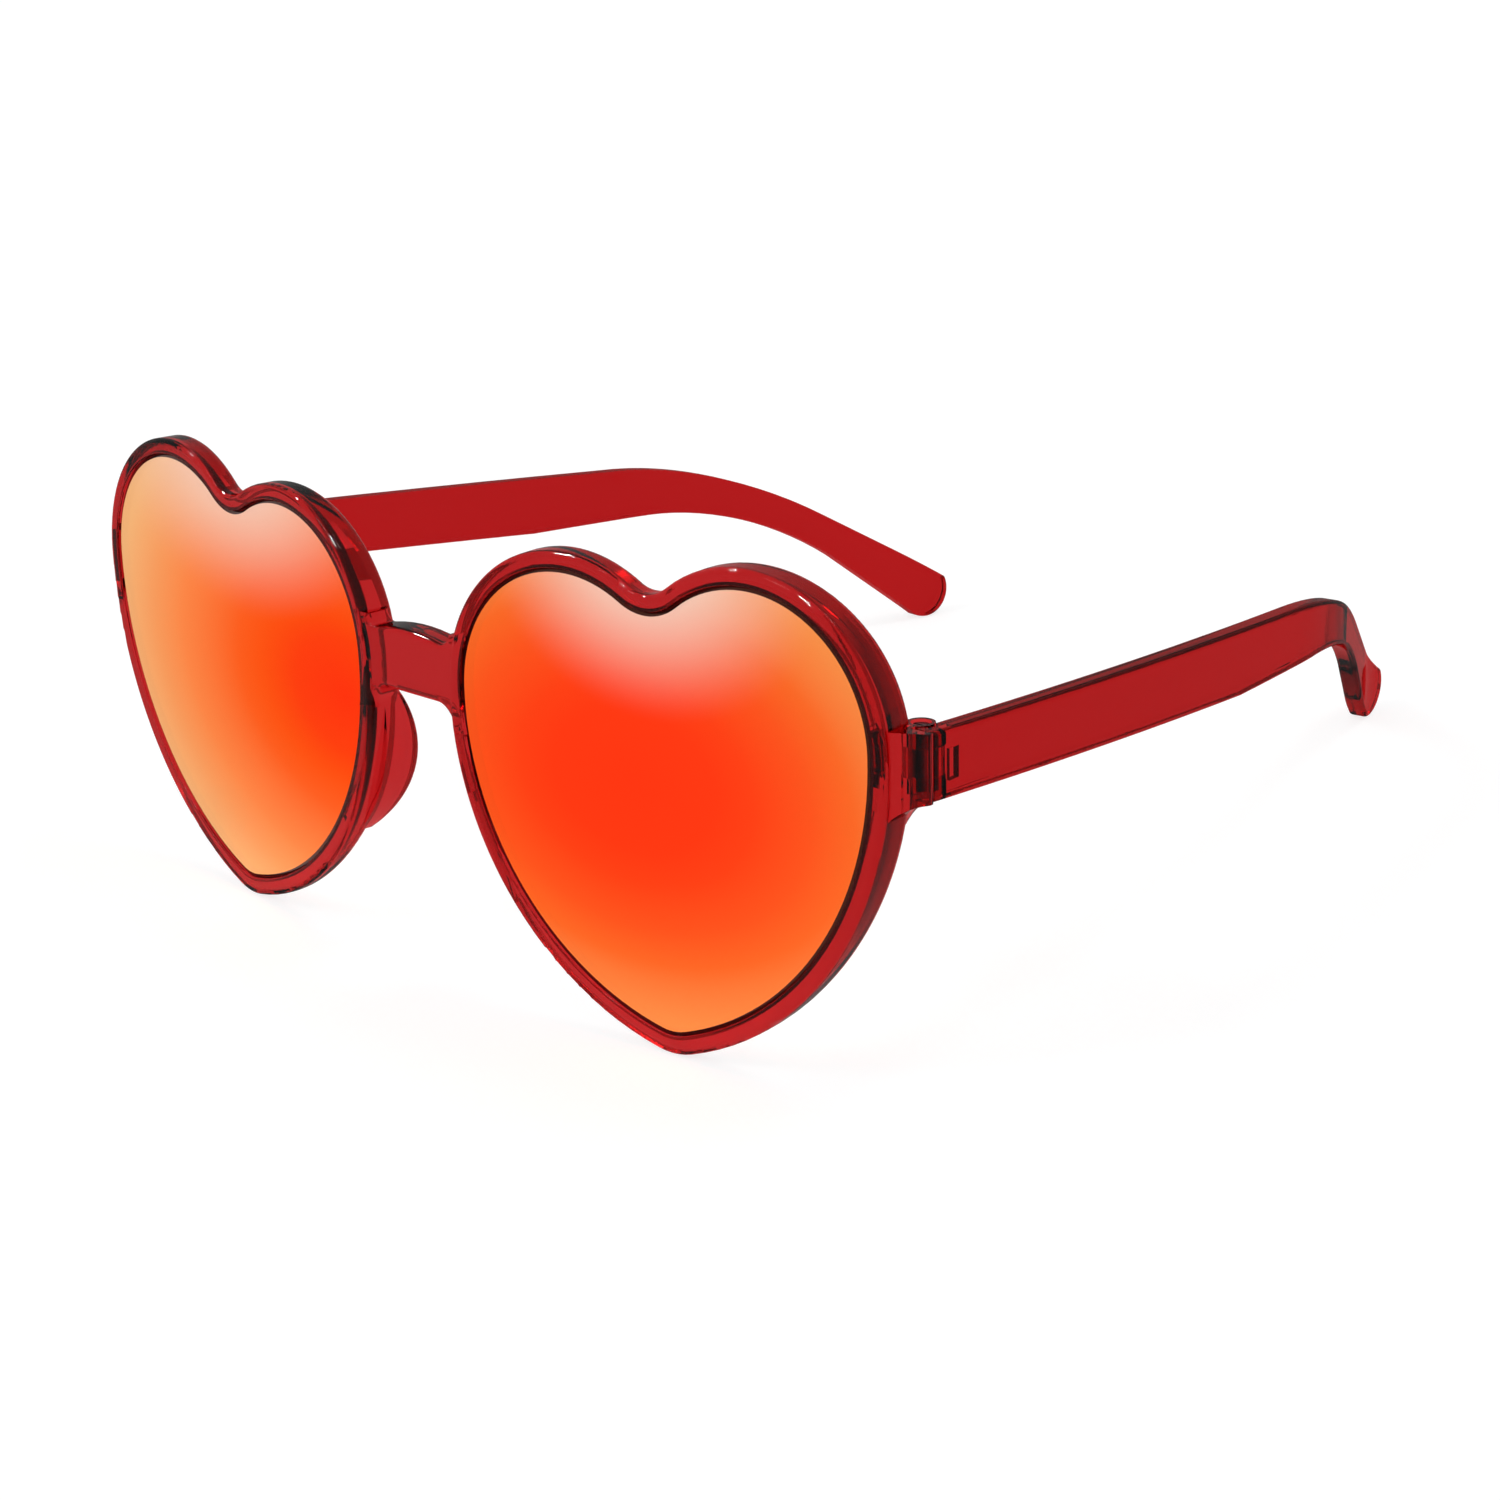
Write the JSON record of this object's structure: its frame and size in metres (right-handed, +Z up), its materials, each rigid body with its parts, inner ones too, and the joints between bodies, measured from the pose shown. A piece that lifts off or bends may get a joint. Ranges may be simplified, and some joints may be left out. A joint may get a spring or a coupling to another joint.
{
  "type": "sunglasses",
  "caption": "Heart shaped sunglasses: a glossy red moulded front with mirrored red to orange heart lenses and side arms that fold on barrel hinges.",
  "frame": {"origin": "middle of the base of the overall box, on the plane that the heart tips and the temple tips stand on", "axes": "+X to the wearer's left, +Y back along the temples, +Z up"},
  "size_m": [0.149, 0.1446, 0.0595],
  "materials": {
    "front_plastic": "glossy, slightly translucent",
    "lens": "mirrored, red in the middle to orange at the edge",
    "temple_plastic": "glossy, slightly translucent",
    "screw_steel": "turned steel"
  },
  "bodies": {
    "front": {"front_frame": "front_plastic", "lens_left": "lens", "lens_right": "lens", "hinge_screw_left": "screw_steel", "hinge_screw_right": "screw_steel"},
    "left_arm": {"temple_left": "temple_plastic"},
    "right_arm": {"temple_right": "temple_plastic"}
  },
  "joints": [
    {"name": "left_fold", "type": "hinge", "parent": "front", "child": "left_arm", "pos_m": [0.07086, -0.0591, 0.03989], "axis": [0, 0.0609, 0.9981], "range_deg": [0, 76.5]},
    {"name": "right_fold", "type": "hinge", "parent": "front", "child": "right_arm", "pos_m": [-0.07086, -0.0591, 0.03989], "axis": [0, -0.0609, -0.9981], "range_deg": [0, 68]}
  ]
}
